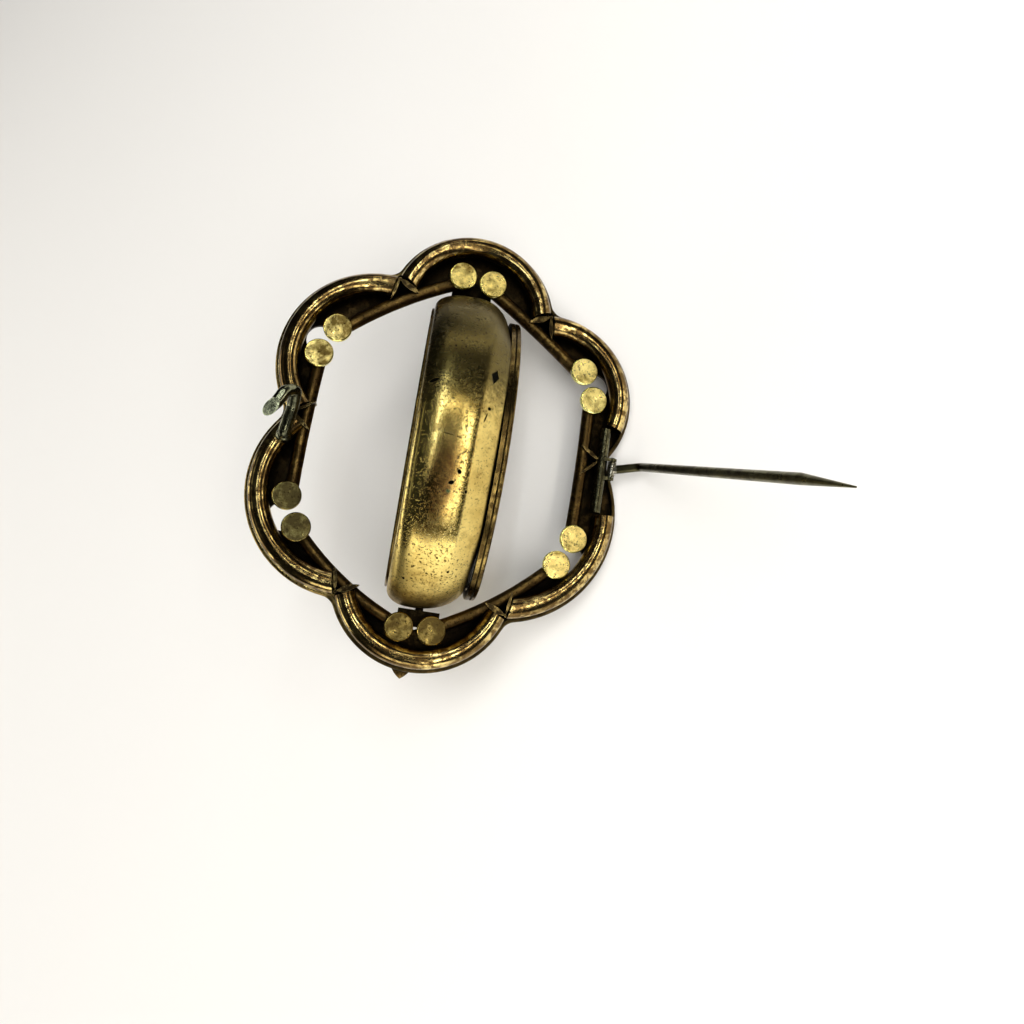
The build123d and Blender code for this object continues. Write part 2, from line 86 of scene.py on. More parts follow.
# %% Camera
CAMERA_PLACE = (-4.16, -21.49, 101.28)
CAMERA_RIGHT = (0.9766, 0.1495, 0.1545)
CAMERA_UP = (-0.1689, 0.9781, 0.1217)
SENSOR_WIDTH = 36.0
FOCAL_SHARE = 808 / 1024
NEAREST = 0.005

right = (board_turn @ Vector(CAMERA_RIGHT)).normalized()
back = right.cross(board_turn @ Vector(CAMERA_UP)).normalized()
camera_data = bpy.data.cameras.new("camera")
camera_data.sensor_width = SENSOR_WIDTH
camera_data.lens = SENSOR_WIDTH * FOCAL_SHARE
camera_data.clip_start = NEAREST
camera = add_object("camera", camera_data)
stand_at(camera, on_board(*CAMERA_PLACE), right, back.cross(right), back)
bpy.context.scene.camera = camera
print("camera stands at", [round(v, 4) for v in camera.location])

# %% [markdown]
# ## Table and light
# Polished metal shows its surroundings more than itself, so a goldsmith's photograph is lit
# twice. Wide lamps that the metal can't mirror light the pale table and throw the soft shadow.
# Narrow cards, held round the camera, are what the metal mirrors: they draw the long bright
# lines, and the dark room between them keeps the rest of the gilt brown.

# %% Table
TABLE_HALF = 1.2
TABLE_PAINT = (0.82, 0.805, 0.785, 1)
corners = [(-1, -1), (1, -1), (1, 1), (-1, 1)]
table_mesh = bpy.data.meshes.new("table")
table_mesh.from_pydata([(x * TABLE_HALF, y * TABLE_HALF, 0) for x, y in corners], [], [(0, 1, 2, 3)])
table = add_object("table", table_mesh)
table_paint = bpy.data.materials.new("pale_table")
table_paint.use_nodes = True
paint = table_paint.node_tree.nodes["Principled BSDF"]
paint.inputs["Base Color"].default_value = TABLE_PAINT
paint.inputs["Roughness"].default_value = 0.9
paint.inputs["Specular IOR Level"].default_value = 0.1
table_mesh.materials.append(table_paint)
print("table is", 2 * TABLE_HALF, "m wide")

# %% Lamps and cards
# Each stands on the board's axes, a number of millimetres from its middle, and faces it. Its
# power is its glow times its area, so a card keeps its brightness when it is made larger.
Lamp = namedtuple("Lamp", "name across along height wide long glow shade mirrored")
lamps = [
    Lamp("window", 120, -260, 860, 600, 600, 3.9, (1.0, 0.985, 0.965), False),
    Lamp("fill", -400, 120, 740, 480, 480, 2.3, (1.0, 0.99, 0.975), False),
    Lamp("ceiling", -60, 60, 420, 420, 420, 0.3, (1.0, 1.0, 1.0), False),
    Lamp("right_card", 52, -50, 260, 15, 350, 7.0, (1.0, 0.96, 0.86), True),
    Lamp("left_card", -54, 90, 255, 9, 390, 7.5, (0.92, 0.98, 1.0), True),
    Lamp("top_card", -15, 128, 258, 110, 24, 2.6, (1.0, 0.96, 0.86), True),
    Lamp("far_top_card", 20, 330, 90, 240, 40, 1.6, (1.0, 0.97, 0.90), True),
    Lamp("foot_card", 10, -270, 90, 240, 120, 1.4, (1.0, 0.96, 0.86), True),
    Lamp("far_left_card", -260, -20, 110, 30, 260, 0.3, (1.0, 0.97, 0.9), True),
    Lamp("low_left_card", -250, -70, -75, 90, 300, 1.3, (1.0, 0.97, 0.9), True),
    Lamp("far_right_card", 210, 40, 175, 24, 260, 2.2, (1.0, 0.90, 0.74), True),
]
POWER_PER_AREA = 4
ROOM_COLOUR = (0.95, 1.0, 0.92, 1)
ROOM_GLOW = 0.025
length = (board_turn @ Vector((0, 1, 0))).normalized()
for lamp in lamps:
    light = bpy.data.lights.new(lamp.name, "AREA")
    light.shape = "RECTANGLE"
    light.size = lamp.wide * MM
    light.size_y = lamp.long * MM
    light.energy = POWER_PER_AREA * lamp.glow * light.size * light.size_y
    light.color = lamp.shade
    stand = add_object(lamp.name, light)
    place = on_board(lamp.across, lamp.along, lamp.height)
    facing = (place - on_board(0, 0, 0)).normalized()
    side = length.cross(facing).normalized()
    stand_at(stand, place, side, facing.cross(side), facing)
    stand.visible_camera = False
    stand.visible_glossy = lamp.mirrored
    print(lamp.name, "stands at height", round(place.z, 3))

room = bpy.data.worlds.new("room")
room.use_nodes = True
room.node_tree.nodes["Background"].inputs["Color"].default_value = ROOM_COLOUR
room.node_tree.nodes["Background"].inputs["Strength"].default_value = ROOM_GLOW
bpy.context.scene.world = room
bpy.context.scene.view_settings.view_transform = "Standard"
bpy.context.scene.view_settings.look = "Medium High Contrast"

# %% [markdown]
# ## Old gilt
# Every finish is mixed from the same few steps: noise for patches and specks, ramps that say
# where one colour gives way to another, and bumps for relief. Each step is a short function, so
# that a recipe reads like a list of what time has done to the metal.

# %% Helpers that place and mix


def add_node(tree, kind, **settings):
    """A new node with its sockets set by name and its options set as attributes."""
    node = tree.nodes.new(kind)
    for key, value in settings.items():
        name = key.replace("_", " ")
        if name in node.inputs:
            node.inputs[name].default_value = value
        else:
            setattr(node, key, value)
    return node


def feed(tree, socket, value):
    """Links a socket to another node's output, or sets it to a number or a colour."""
    if isinstance(value, bpy.types.NodeSocket):
        tree.links.new(value, socket)
    elif isinstance(value, (int, float)):
        socket.default_value = value
    else:
        socket.default_value = (*value, 1)


def grey(value):
    """A colour with the same value in all three channels."""
    return (value, value, value)


def ramp(tree, source, stops):
    """A colour ramp fed by source, with stops given as (place, colour)."""
    node = tree.nodes.new("ShaderNodeValToRGB")
    elements = node.color_ramp.elements
    while len(elements) < len(stops):
        elements.new(0.5)
    for element, (place, colour) in zip(elements, stops):
        element.position = place
        element.color = (*colour, 1)
    tree.links.new(source, node.inputs["Fac"])
    return node.outputs["Color"]


def mix_colour(tree, share, first, second):
    """The first colour where share is nothing and the second where it is one."""
    node = add_node(tree, "ShaderNodeMix", data_type="RGBA")
    for socket, value in zip((node.inputs[0], *node.inputs[6:8]), (share, first, second)):
        feed(tree, socket, value)
    return node.outputs[2]


def combine(tree, operation, first, second):
    """One sum done on two values, such as the larger of them."""
    node = add_node(tree, "ShaderNodeMath", operation=operation)
    for socket, value in zip(node.inputs, (first, second)):
        feed(tree, socket, value)
    return node.outputs["Value"]


def larger(tree, first, second):
    return combine(tree, "MAXIMUM", first, second)


def times(tree, first, second):
    return combine(tree, "MULTIPLY", first, second)


def seen_from(tree, where, centre, turn=(0, 0, 0), sizes=(1, 1, 1)):
    """Coordinates measured from a centre, along turned axes, in units of the sizes."""
    mapping = add_node(tree, "ShaderNodeMapping", vector_type="TEXTURE",
                       Location=centre, Rotation=turn, Scale=sizes)
    tree.links.new(where, mapping.inputs["Vector"])
    return mapping.outputs["Vector"]


def stretched(tree, where, scale, shift=(0, 0, 0)):
    """Coordinates multiplied along each axis and then shifted."""
    mapping = add_node(tree, "ShaderNodeMapping", Scale=scale, Location=shift)
    tree.links.new(where, mapping.inputs["Vector"])
    return mapping.outputs["Vector"]


def board_coordinates(tree):
    """Where the point lies on the board, in millimetres."""
    place = tree.nodes.new("ShaderNodeTexCoord")
    return seen_from(tree, place.outputs["Object"], REST_MOVE, (0, REST_TILT, 0), (MM, MM, MM))


def noise(tree, where, scale, detail=4.0, roughness=0.55, stretch=None):
    """Noise with this many cycles to the millimetre, drawn out along an axis where asked."""
    if stretch:
        where = stretched(tree, where, stretch)
    node = add_node(tree, "ShaderNodeTexNoise", Scale=scale, Detail=detail, Roughness=roughness)
    tree.links.new(where, node.inputs["Vector"])
    return node.outputs["Fac"]


# %% [markdown]
# A polishing cloth never reaches a corner and always reaches an edge. So grime, with the shade
# that falls there painted in as well, is found by how closed in a point is, and rubbed metal by
# how sharply the surface turns there.

# %% Helpers that age and paint shade


def shade_and_grime_in_corners(tree, reach, low, high):
    """Painted shade and grime: one in corners, felt within reach millimetres, and nothing on open
    surfaces.
    """
    corner = add_node(tree, "ShaderNodeAmbientOcclusion", samples=8, Distance=reach * MM)
    return ramp(tree, corner.outputs["AO"], [(low, grey(1)), (high, grey(0))])


def rubbed_edges(tree, reach, most):
    """One on sharp outer edges, where handling keeps the metal bright."""
    soft = add_node(tree, "ShaderNodeBevel", samples=4, Radius=reach * MM)
    flat = tree.nodes.new("ShaderNodeNewGeometry")
    match = add_node(tree, "ShaderNodeVectorMath", operation="DOT_PRODUCT")
    tree.links.new(soft.outputs["Normal"], match.inputs[0])
    tree.links.new(flat.outputs["Normal"], match.inputs[1])
    return ramp(tree, match.outputs["Value"], [(0.86, grey(most)), (0.985, grey(0))])


def oval_mask(tree, where, centre, sizes, turn_here=0.0, lozenge=False, soft=0.25):
    """One inside an oval or lozenge on the board, falling softly to nothing outside it."""
    own = seen_from(tree, where, centre, (0, 0, turn_here), sizes)
    if lozenge:
        whole = add_node(tree, "ShaderNodeVectorMath", operation="ABSOLUTE")
        tree.links.new(own, whole.inputs[0])
        reach = add_node(tree, "ShaderNodeVectorMath", operation="DOT_PRODUCT")
        reach.inputs[1].default_value = (1, 1, 0.3)
        tree.links.new(whole.outputs["Vector"], reach.inputs[0])
    else:
        reach = add_node(tree, "ShaderNodeVectorMath", operation="LENGTH")
        tree.links.new(own, reach.inputs[0])
    return ramp(tree, reach.outputs["Value"], [(1 - soft, grey(1)), (1, grey(0))])


def bump(tree, height, strength, distance, below=None, invert=False):
    """Relief from a height, at most a distance in millimetres, laid over the relief below."""
    node = add_node(tree, "ShaderNodeBump", Strength=strength, Distance=distance * MM, invert=invert)
    tree.links.new(height, node.inputs["Height"])
    if below is not None:
        tree.links.new(below, node.inputs["Normal"])
    return node.outputs["Normal"]


def start_metal(name):
    """A new metal with its node tree, its shader and the board's coordinates."""
    material = bpy.data.materials.new(name)
    material.use_nodes = True
    tree = material.node_tree
    shader = tree.nodes["Principled BSDF"]
    shader.inputs["Metallic"].default_value = 1.0
    return material, tree, shader, board_coordinates(tree)


def lay_over(material, share, colour, rough):
    """Lays another colour and roughness over a finished skin, where share is one."""
    tree = material.node_tree
    shader = tree.nodes["Principled BSDF"]
    for socket, value in (("Base Color", colour), ("Roughness", grey(rough))):
        below = shader.inputs[socket].links[0].from_socket
        tree.links.new(mix_colour(tree, share, below, value), shader.inputs[socket])


# %% [markdown]
# One recipe makes all the metal but the studs and the case, which have their own. Broad soft
# patches go from worn bright gold to brown, fine specks of black sit in the pits, and grime
# with painted shade fills the corners and the gaps between parts. The more tarnish a piece has,
# the more of it is brown and specked.

# %% The gilt recipe
PATCHES = 0.28
BLOTCHES = 0.9
SPECKS = 3.1
ACROSS_HAIRS, ALONG_HAIRS = 9.0, 1.1
GRIME_ROUGH = 0.6
EDGE_REACH = 0.10


def old_gilt(name, bright, middle, dark, tarnish, rough, pits=0.5, corner_shade_reach=0.9, edges=0.0,
             waves=0.22, hairs=0.08):
    """Aged gilding: worn to brown, with specks, pits, grime and painted shade in corners, and rubbed
    edges.
    """
    material, tree, shader, where = start_metal(name)
    broad = noise(tree, where, PATCHES, 3.0)
    speck = noise(tree, where, SPECKS, 8.0, 0.68)
    blotch = noise(tree, where, BLOTCHES, 6.0, 0.62)
    cleaner = 0.5 - tarnish
    brown = ramp(tree, blotch, [(0.5 + 0.18 * cleaner, grey(0)), (0.64 + 0.3 * cleaner, grey(1))])
    black = ramp(tree, speck,
                 [(0.66 - 0.14 * tarnish, grey(0)), (0.74 - 0.1 * tarnish, grey(0.85))])
    # Corners and gaps between parts go dark: painted shade, with some grime.
    closed = shade_and_grime_in_corners(tree, corner_shade_reach, 0.30, 0.86)
    skin = ramp(tree, broad, [(0.36, middle), (0.62, bright)])
    skin = mix_colour(tree, brown, skin, middle)
    skin = mix_colour(tree, black, skin, dark)
    skin = mix_colour(tree, closed, skin, dark)
    dull = ramp(tree, blotch, [(0.35, grey(rough[0])), (0.7, grey(rough[1]))])
    dull = mix_colour(tree, closed, dull, grey(GRIME_ROUGH))
    if edges:
        rubbed = rubbed_edges(tree, EDGE_REACH, edges)
        skin = mix_colour(tree, rubbed, skin, bright)
        dull = mix_colour(tree, rubbed, dull, grey(rough[0]))
    tree.links.new(skin, shader.inputs["Base Color"])
    tree.links.new(dull, shader.inputs["Roughness"])
    hair = noise(tree, where, 1.0, 2.0, 0.5, stretch=(ACROSS_HAIRS, ALONG_HAIRS, ACROSS_HAIRS))
    pit = ramp(tree, speck, [(0.60, grey(1)), (0.72, grey(0))])
    relief = bump(tree, hair, hairs, 0.02)
    relief = bump(tree, pit, 0.35 * pits, 0.05, relief)
    relief = bump(tree, broad, waves, 0.25, relief)
    tree.links.new(relief, shader.inputs["Normal"])
    return material


gilt_tube = old_gilt(
    "gilt_tube", (0.78, 0.61, 0.27), (0.19, 0.125, 0.05), (0.014, 0.011, 0.007),
    tarnish=0.80, rough=(0.15, 0.28), waves=0.06, hairs=0.03,
)
gilt_ring = old_gilt(
    "gilt_ring", (0.30, 0.20, 0.07), (0.12, 0.078, 0.03), (0.012, 0.010, 0.006),
    tarnish=0.85, rough=(0.30, 0.46),
)
dark_sheet = old_gilt(
    "dark_sheet", (0.05, 0.036, 0.016), (0.02, 0.014, 0.007), (0.005, 0.004, 0.003),
    tarnish=0.9, rough=(0.36, 0.55), pits=1.0, corner_shade_reach=1.6,
)
dark_leaf = old_gilt(
    "dark_leaf", (0.36, 0.27, 0.11), (0.04, 0.028, 0.014), (0.008, 0.006, 0.004),
    tarnish=0.9, rough=(0.25, 0.4), pits=0.8, corner_shade_reach=0.8, edges=0.7,
)
gilt_rim = old_gilt(
    "gilt_rim", (0.34, 0.25, 0.09), (0.10, 0.068, 0.026), (0.015, 0.011, 0.007),
    tarnish=0.75, rough=(0.18, 0.34), edges=0.7,
)
grey_brass = old_gilt(
    "grey_brass", (0.22, 0.205, 0.12), (0.075, 0.07, 0.042), (0.012, 0.012, 0.009),
    tarnish=0.7, rough=(0.2, 0.36), pits=0.8, edges=0.6,
)
catch_brass = old_gilt(
    "catch_brass", (0.30, 0.30, 0.20), (0.085, 0.088, 0.06), (0.015, 0.016, 0.012),
    tarnish=0.75, rough=(0.16, 0.32), pits=0.8, edges=1.0,
)
dull_steel = old_gilt(
    "dull_steel", (0.17, 0.16, 0.09), (0.08, 0.075, 0.042), (0.02, 0.02, 0.014),
    tarnish=0.5, rough=(0.26, 0.42), pits=0.6,
)
print("finishes so far:", len(bpy.data.materials))

# %% [markdown]
# The pin's barrel turns between two lugs whenever the brooch is worn, so it is rubbed to bare
# metal while the stem beside it stays dull. An oval on the board says where the barrel is.

# %% Polished barrel
Barrel = namedtuple("Barrel", "across along height wide long")
barrel = Barrel(21.4, 1.0, 1.2, 0.9, 1.3)
BARE_STEEL = (0.62, 0.60, 0.52)
BARE_ROUGH = 0.22
tree = dull_steel.node_tree
where = board_coordinates(tree)
polished = oval_mask(
    tree, where, (barrel.across, barrel.along, barrel.height), (barrel.wide, barrel.long, barrel.wide)
)
missed = ramp(tree, noise(tree, where, 2.6, 7.0, 0.7), [(0.42, grey(1)), (0.56, grey(0.2))])
lay_over(dull_steel, times(tree, polished, missed), BARE_STEEL, BARE_ROUGH)
print("barrel polished at", tuple(barrel[:3]))

# %% [markdown]
# The locket's front holds a glass over a plain cloth. Cloth is two sets of threads that cross,
# and whichever lies on top shows, so the weave is the larger of two noises drawn out in
# different directions.

# %% Glass and cloth
clear_glass = bpy.data.materials.new("clear_glass")
clear_glass.use_nodes = True
shader = clear_glass.node_tree.nodes["Principled BSDF"]
shader.inputs["Base Color"].default_value = (0.93, 0.95, 0.94, 1)
shader.inputs["Roughness"].default_value = 0.03
shader.inputs["IOR"].default_value = 1.5
shader.inputs["Transmission Weight"].default_value = 1.0

THREAD_THIN, THREAD_LONG = 9.0, 2.2
dark_cloth = bpy.data.materials.new("dark_cloth")
dark_cloth.use_nodes = True
tree = dark_cloth.node_tree
shader = tree.nodes["Principled BSDF"]
shader.inputs["Roughness"].default_value = 0.85
shader.inputs["Sheen Weight"].default_value = 0.15
where = board_coordinates(tree)
upright = noise(tree, where, 1.0, 1.0, 0.3, stretch=(1.0, THREAD_THIN, THREAD_LONG))
flat_way = noise(tree, where, 1.0, 1.0, 0.3, stretch=(1.0, THREAD_LONG, THREAD_THIN))
weave = larger(tree, upright, flat_way)
cloth_colour = ramp(tree, weave, [(0.4, (0.012, 0.010, 0.012)), (0.7, (0.045, 0.04, 0.045))])
tree.links.new(cloth_colour, shader.inputs["Base Color"])
tree.links.new(bump(tree, weave, 0.5, 0.08), shader.inputs["Normal"])
print("cloth has", len(tree.nodes), "nodes")

# %% [markdown]
# ## The sheet and its rim
# The sheet under the tubes has never been polished since it was soldered and has gone nearly
# black, and it is painted darker still as painted shade of its recess between tubes and ring.
# Its rounded rim carries a painted highlight of gold, strongest on the side of the catch.
# The rim is whatever lies just outside every lobe's circle.

# %% The sheet's rim
LobeCircle = namedtuple("LobeCircle", "name across along radius")
lobe_circles = [
    LobeCircle("top", 0.49, 18.11, 10.88),
    LobeCircle("upper_right", 11.86, 9.20, 11.35),
    LobeCircle("lower_right", 8.76, -6.24, 14.45),
    LobeCircle("bottom", 0.0, -16.65, 11.65),
    LobeCircle("lower_left", -10.46, -7.62, 13.14),
    LobeCircle("upper_left", -10.30, 8.86, 12.65),
]
RIM_WIDTH = 0.58
RIM_FADE = 0.12
CORNER_START, CORNER_END = 0.06, 0.22
# The rim's gold is a painted highlight, brightest towards the catch side, where the light falls.
RIM_HIGHLIGHT_GOLD = (0.56, 0.42, 0.17)
RIM_ROUGH = 0.2
UNLIT_ACROSS, LIT_ACROSS = -7.0, -14.0
LEAST_LIT = 0.12
FLAT = (1, 1, 0)


def rim_share(tree):
    """One on the rim, and nothing inside it or in the deep corners between two lobes."""
    flat_place = stretched(tree, board_coordinates(tree), FLAT)
    least = None
    for circle in lobe_circles:
        away = add_node(tree, "ShaderNodeVectorMath", operation="DISTANCE")
        tree.links.new(flat_place, away.inputs[0])
        away.inputs[1].default_value = (circle.across, circle.along, 0)
        beyond = combine(tree, "SUBTRACT", away.outputs["Value"], circle.radius - RIM_WIDTH)
        least = beyond if least is None else combine(tree, "MINIMUM", least, beyond)
    return ramp(tree, least, [
        (0.0, grey(0)), (RIM_FADE, grey(1)),
        (RIM_WIDTH + CORNER_START, grey(1)), (RIM_WIDTH + CORNER_END, grey(0)),
    ])


# Nearly black: partly tarnish, partly painted shade of the recess between tubes and ring.
sheet_skin = old_gilt(
    "sheet_skin", (0.075, 0.05, 0.02), (0.026, 0.018, 0.009), (0.004, 0.0035, 0.003),
    tarnish=0.9, rough=(0.34, 0.55), pits=1.0, corner_shade_reach=1.6,
)
tree = sheet_skin.node_tree
where = board_coordinates(tree)
# Patches and a fade from the catch side break up the rim's painted highlight.
rim_patches = ramp(tree, noise(tree, where, 0.5, 7.0, 0.7), [(0.38, grey(0.35)), (0.56, grey(1))])
place = tree.nodes.new("ShaderNodeSeparateXYZ")
tree.links.new(where, place.inputs["Vector"])
catch_side = add_node(tree, "ShaderNodeMapRange", From_Min=UNLIT_ACROSS, From_Max=LIT_ACROSS,
                      To_Min=LEAST_LIT)
tree.links.new(place.outputs["X"], catch_side.inputs["Value"])
rim_highlight = times(tree, times(tree, rim_share(tree), rim_patches), catch_side.outputs["Result"])
lay_over(sheet_skin, rim_highlight, RIM_HIGHLIGHT_GOLD, RIM_ROUGH)
print("sheet skin has", len(tree.nodes), "nodes")

# %% [markdown]
# ## The studs
# The stud ends were turned or filed flat, so each shows faint rings and catches the light its
# own way. Those at the hinge side are painted brightest and those at the foot and the lower left
# nearly brown, which is painted light and shade from how the lamp falls on them. Each stud gets
# its own skin, centred on itself, with a painted highlight on its bevel and painted shade in its
# corners.

# %% Skins for the studs
# Each face's gold, brown and share of gold are painted light and shade: lighter on the hinge side,
# darker at the foot and lower left.
StudFace = namedtuple("StudFace", "lobe gold brown shine")
stud_faces = [
    StudFace("top", (0.95, 0.77, 0.28), (0.30, 0.21, 0.06), 0.62),
    StudFace("upper_right", (1.0, 0.84, 0.34), (0.42, 0.30, 0.08), 0.75),
    StudFace("lower_right", (1.0, 0.80, 0.31), (0.40, 0.29, 0.08), 0.72),
    StudFace("bottom", (0.46, 0.35, 0.12), (0.14, 0.10, 0.035), 0.36),
    StudFace("lower_left", (0.34, 0.28, 0.11), (0.12, 0.095, 0.04), 0.30),
    StudFace("upper_left", (0.95, 0.77, 0.30), (0.22, 0.155, 0.05), 0.52),
]
STUD_RADIUS = 1.78
BEVEL_START, BEVEL_FULL = 0.16, 0.08
# How much lighter the bevel is painted than the face: a painted highlight.
BEVEL_HIGHLIGHT_GAIN = 1.15
SPECK_BROWN = (0.05, 0.035, 0.015)
# The colour of painted shade in the stud's corners, with some grime.
CREVICE_SHADE_BLACK = (0.015, 0.011, 0.007)
# How far each stud's pattern is turned and shifted from the one before, so that no two match.
NEXT_TURN = 1.7
NEXT_SHIFT = (7.3, 3.1)


def stud_skin(name, face, centre, seed):
    """Gilt with turning rings about the stud's own centre, blotches, specks, a painted highlight on
    the bevel and painted shade in corners.
    """
    material, tree, shader, where = start_metal(name + "_skin")
    where = seen_from(tree, where, centre, (0, 0, seed * NEXT_TURN))
    shifted = stretched(
        tree, where, (1, 1, 1), (seed * NEXT_SHIFT[0], seed * NEXT_SHIFT[1], 0)
    )
    blotch = noise(tree, shifted, 0.75, 6.0, 0.66)
    speck = noise(tree, shifted, 3.2, 7.0, 0.7)
    swell = noise(tree, shifted, 0.3, 2.0, 0.5)
    reach = add_node(tree, "ShaderNodeVectorMath", operation="LENGTH")
    tree.links.new(stretched(tree, where, FLAT), reach.inputs[0])
    share = add_node(tree, "ShaderNodeMapRange", From_Min=STUD_RADIUS - BEVEL_START,
                     From_Max=STUD_RADIUS - BEVEL_FULL)
    tree.links.new(reach.outputs["Value"], share.inputs["Value"])
    bevel = share.outputs["Result"]
    level = 0.30 + 0.38 * face.shine
    dots = ramp(tree, speck, [(0.56, grey(0)), (0.63, grey(0.9))])
    colour = ramp(tree, blotch, [(level - 0.12, face.gold), (level + 0.10, face.brown)])
    colour = mix_colour(tree, dots, colour, SPECK_BROWN)
    # The bevel is painted lighter, a painted highlight; the corners near black, painted shade with
    # some grime.
    colour = mix_colour(tree, bevel, colour, tuple(min(1, BEVEL_HIGHLIGHT_GAIN * c) for c in face.gold))
    colour = mix_colour(tree, shade_and_grime_in_corners(tree, 0.7, 0.25, 0.72), colour, CREVICE_SHADE_BLACK)
    tree.links.new(colour, shader.inputs["Base Color"])
    dull = ramp(tree, blotch, [(0.35, grey(0.27)), (0.70, grey(0.44))])
    tree.links.new(mix_colour(tree, bevel, dull, grey(0.2)), shader.inputs["Roughness"])
    rings = add_node(tree, "ShaderNodeTexWave", wave_type="RINGS", rings_direction="Z",
                     Scale=1.1, Distortion=2.2, Detail=3.0, Detail_Scale=1.2)
    tree.links.new(where, rings.inputs["Vector"])
    relief = bump(tree, rings.outputs["Fac"], 0.28, 0.03)
    relief = bump(tree, swell, 0.5, 0.5, relief)
    relief = bump(tree, dots, 0.4, 0.05, relief, invert=True)
    tree.links.new(relief, shader.inputs["Normal"])
    return material


for face in stud_faces:
    for which in (1, 2):
        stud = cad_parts[f"stud_{face.lobe}_{which}"]
        corners = [board.inverted() @ (stud.matrix_world @ Vector(c)) for c in stud.bound_box]
        centre = sum(corners, Vector()) / len(corners)
        seed = stud_faces.index(face) * 2 + which
        stud.material_slots[0].material = stud_skin(stud.name, face, centre, seed)
        print(stud.name, "at", [round(v, 1) for v in centre])

# %% [markdown]
# ## The locket's case
# The case was struck in sheet brass, so it has no straight line: its band swells between the
# two faces, and the shoulders grow rounder towards the ends. We draw one section as two quarter
# ovals of a stated squareness, carry it round the locket's outline and let it change on the
# way. The outline itself is four arcs: two tight ones at the ends and two wide ones at the sides.

# %% Outline of the locket
Place = namedtuple("Place", "along height out_along out_height")
LOCKET_ALONG = -0.024
LOCKET_HEIGHT = -1.3
HALF_LENGTH = 20.42
HALF_WIDTH = 14.997
END_RADIUS = 10.5
SIDE_RADIUS = (HALF_LENGTH**2 + HALF_WIDTH**2 - 2 * HALF_LENGTH * END_RADIUS) / (
    2 * (HALF_WIDTH - END_RADIUS)
)
END_CENTRE = HALF_LENGTH - END_RADIUS
SIDE_CENTRE = SIDE_RADIUS - HALF_WIDTH
JOIN_TURN = atan2(SIDE_CENTRE, END_CENTRE)


def outline_place(share):
    """A place on the locket's outline, going round it once as share goes from 0 to 1."""
    end_run = END_RADIUS * JOIN_TURN
    side_run = SIDE_RADIUS * (pi - 2 * JOIN_TURN)
    quarter = end_run + side_run / 2
    run = share * 4 * quarter
    part, run = divmod(run, 2 * quarter)
    sign = 1 if part < 1 else -1
    if run < end_run:
        angle, centre, radius = run / END_RADIUS, (END_CENTRE, 0.0), END_RADIUS
    elif run < end_run + side_run:
        angle = JOIN_TURN + (run - end_run) / SIDE_RADIUS
        centre, radius = (0.0, -SIDE_CENTRE), SIDE_RADIUS
    else:
        angle = pi - JOIN_TURN + (run - end_run - side_run) / END_RADIUS
        centre, radius = (-END_CENTRE, 0.0), END_RADIUS
    out = (cos(angle) * sign, sin(angle) * sign)
    return Place(
        LOCKET_ALONG + centre[0] * sign + out[0] * radius,
        LOCKET_HEIGHT + centre[1] * sign + out[1] * radius,
        *out,
    )


print("outline starts at", [round(v, 2) for v in outline_place(0)])

# %% [markdown]
# Cut across, the band is a low crown with a flat facet towards the front and an oval shoulder
# at the back. At the locket's ends the facet gives way to an oval shoulder too, as if the
# sheet had been hammered round the tight bend there.

# %% Section of the band
CASE_BACK = -4.45
CASE_FRONT = 5.4
CASE_LIP = 3.45
FACET_SLOPE = 0.56
FACET_BLEND = 0.16
CROWN = 0.02
SECTION_STEPS = 80
# Each shoulder is given as its depth at the face and how square its oval is.
BACK_SIDE, BACK_END = (2.35, 3.0), (2.3, 2.5)
FRONT_END = (4.3, 2.05)


def oval_depth(across, crest, face, deep, square):
    """Depth under the crest of an oval shoulder that is `deep` at its face."""
    share = min(abs((across - crest) / (face - crest)), 1)
    return deep * (1 - (1 - share**square) ** (1 / square))


def side_depth(across, crest, ridge):
    """Depth of the front half at the sides: a low crown, then a flat facet past the ridge."""
    facet = log(1 + exp((across - ridge) / FACET_BLEND)) * FACET_BLEND
    return CROWN * (across - crest) ** 2 + FACET_SLOPE * facet


def band_section(crest, ridge, ends, count):
    """Points (across, depth) from the front lip over the crest to the back lip."""
    front, back = [(CASE_FRONT, CASE_LIP)], []
    for step in range(SECTION_STEPS + 1):
        share = sin(pi / 2 * step / SECTION_STEPS)
        across = crest + (CASE_FRONT - crest) * share
        side = side_depth(across, crest, ridge)
        end = oval_depth(across, crest, CASE_FRONT, *FRONT_END)
        front.append((across, min(side + (end - side) * ends, CASE_LIP)))
        across = crest + (CASE_BACK - crest) * share
        side = oval_depth(across, crest, CASE_BACK, *BACK_SIDE)
        end = oval_depth(across, crest, CASE_BACK, *BACK_END)
        back.append((across, side + (end - side) * ends))
    line = front[:1] + front[:0:-1] + back[1:] + [(CASE_BACK, CASE_LIP)]
    lengths = [0.0]
    for first, second in zip(line, line[1:]):
        lengths.append(lengths[-1] + hypot(second[0] - first[0], second[1] - first[1]))
    points, place = [], 0
    for index in range(count):
        goal = lengths[-1] * index / (count - 1)
        while place < len(line) - 2 and lengths[place + 1] < goal:
            place += 1
        share = (goal - lengths[place]) / max(lengths[place + 1] - lengths[place], 1e-9)
        points.append(tuple(a + (b - a) * share for a, b in zip(line[place], line[place + 1])))
    return points


def smooth_step(low, high, value):
    """Rises from nothing at low to one at high, level at both."""
    share = min(max((value - low) / (high - low), 0), 1)
    return share * share * (3 - 2 * share)


print("back shoulder is", oval_depth(CASE_BACK, 0, CASE_BACK, *BACK_SIDE), "mm deep")

# %% [markdown]
# The section is carried round the outline in small steps. Its crest leans a little across, as
# the highlight in the photograph does, and the facet's ridge bows. Two slow noises dip the
# sheet by less than a tenth of a millimetre, which is enough to bend a reflection.

